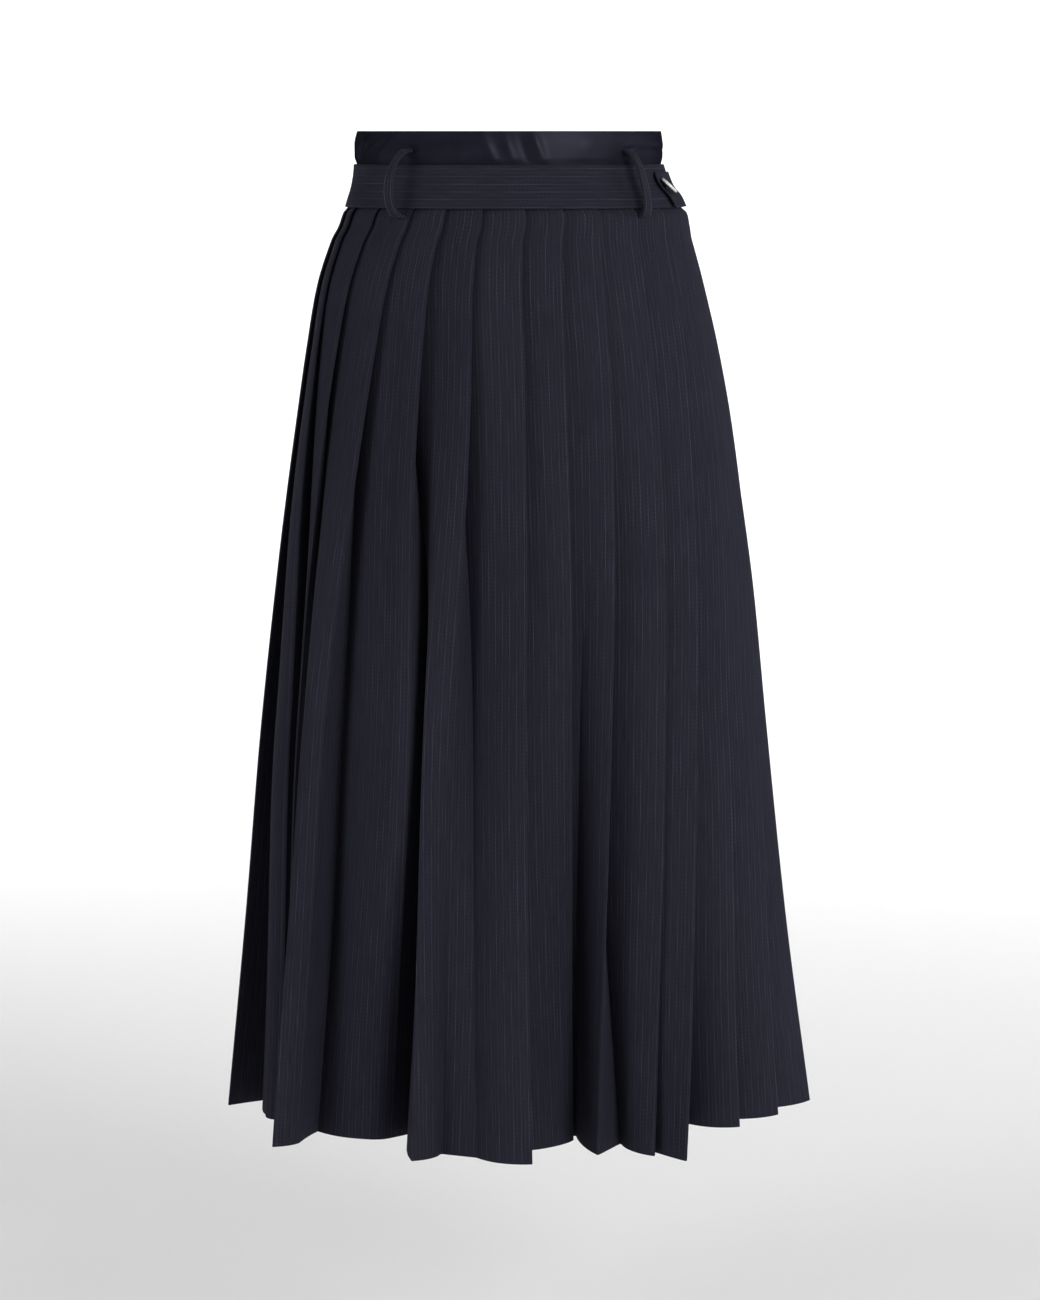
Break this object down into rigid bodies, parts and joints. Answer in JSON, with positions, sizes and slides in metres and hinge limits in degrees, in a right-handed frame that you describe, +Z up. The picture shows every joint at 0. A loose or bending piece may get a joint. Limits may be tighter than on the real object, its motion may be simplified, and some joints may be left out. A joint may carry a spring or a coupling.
{
  "type": "pleated midi skirt",
  "caption": "Knife-pleated wool midi skirt, worn and filled out, with a waistband, raised satin facing, buttoned tab and belt loops.",
  "frame": {"origin": "middle of the waist hollow, halfway up the waistband", "axes": "+Z up along the body, -Y towards the skirt's front, +X towards the wearer's left side"},
  "size_m": [0.5044, 0.4015, 0.833],
  "materials": {
    "wool": "matt dark navy worsted wool with fine pale pinstripes",
    "satin": "glossy navy satin",
    "button": "pale pearly resin"
  },
  "bodies": {
    "root": {"skirt_front": "wool", "skirt_back": "wool", "waistband_front": "wool", "waistband_back": "wool", "button_tab": "wool", "button": "button", "satin_front": "satin", "satin_back": "satin", "loop_front_right": "wool", "loop_front_left": "wool", "loop_back_right": "wool", "loop_back_left": "wool"}
  },
  "joints": []
}
